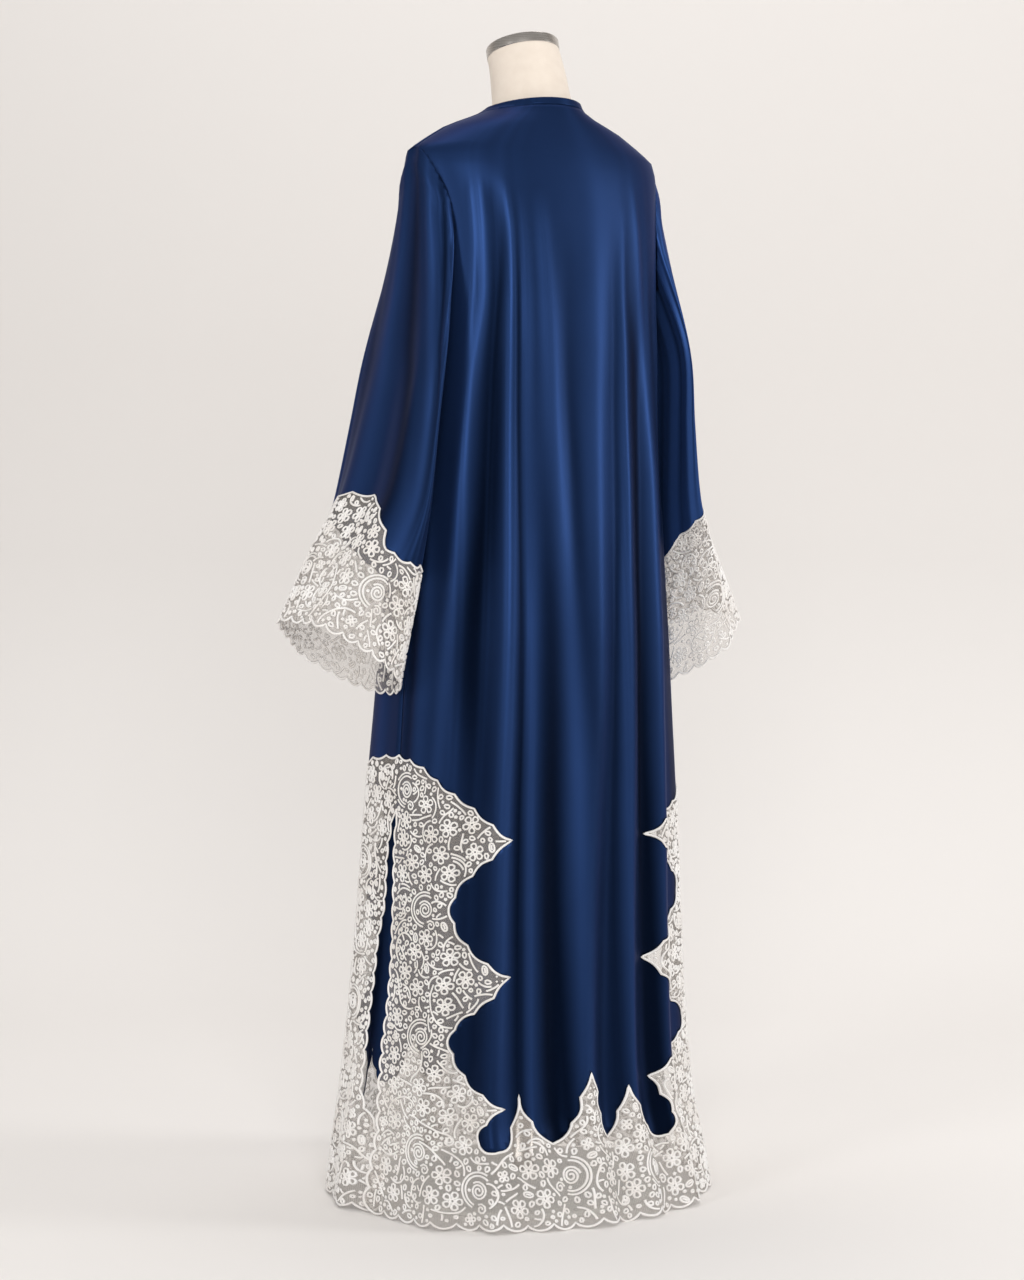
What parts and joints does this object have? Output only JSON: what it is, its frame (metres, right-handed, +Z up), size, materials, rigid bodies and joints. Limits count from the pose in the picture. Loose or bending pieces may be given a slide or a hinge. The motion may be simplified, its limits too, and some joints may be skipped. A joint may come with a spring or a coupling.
{
  "type": "abaya on dress form",
  "caption": "Full-length open-fronted satin abaya with wide bell sleeves and corded lace borders, displayed on a limbless dress form with a pole stand.",
  "frame": {"origin": "centre of the stand foot's underside, on the floor", "axes": "+X towards the wearer's left, +Y out of the wearer's back, +Z up"},
  "size_m": [0.649, 0.4735, 1.487],
  "materials": {
    "satin": "navy satin with a soft sheen",
    "lace": "ivory corded lace on fine net",
    "linen": "cream cotton cover",
    "steel": "brushed",
    "enamel": "pale enamel"
  },
  "bodies": {
    "root": {"back_panel": "satin", "front_panel_left": "satin", "front_panel_right": "satin", "neck_binding": "satin", "sleeve_left": "satin", "sleeve_right": "satin", "back_lace": "lace", "front_lace_left": "lace", "front_lace_right": "lace", "cuff_lace_left": "lace", "cuff_lace_right": "lace", "form_torso": "linen", "neck_cap": "steel", "stand_pole": "steel", "stand_flange": "steel", "stand_foot": "enamel"}
  },
  "joints": []
}
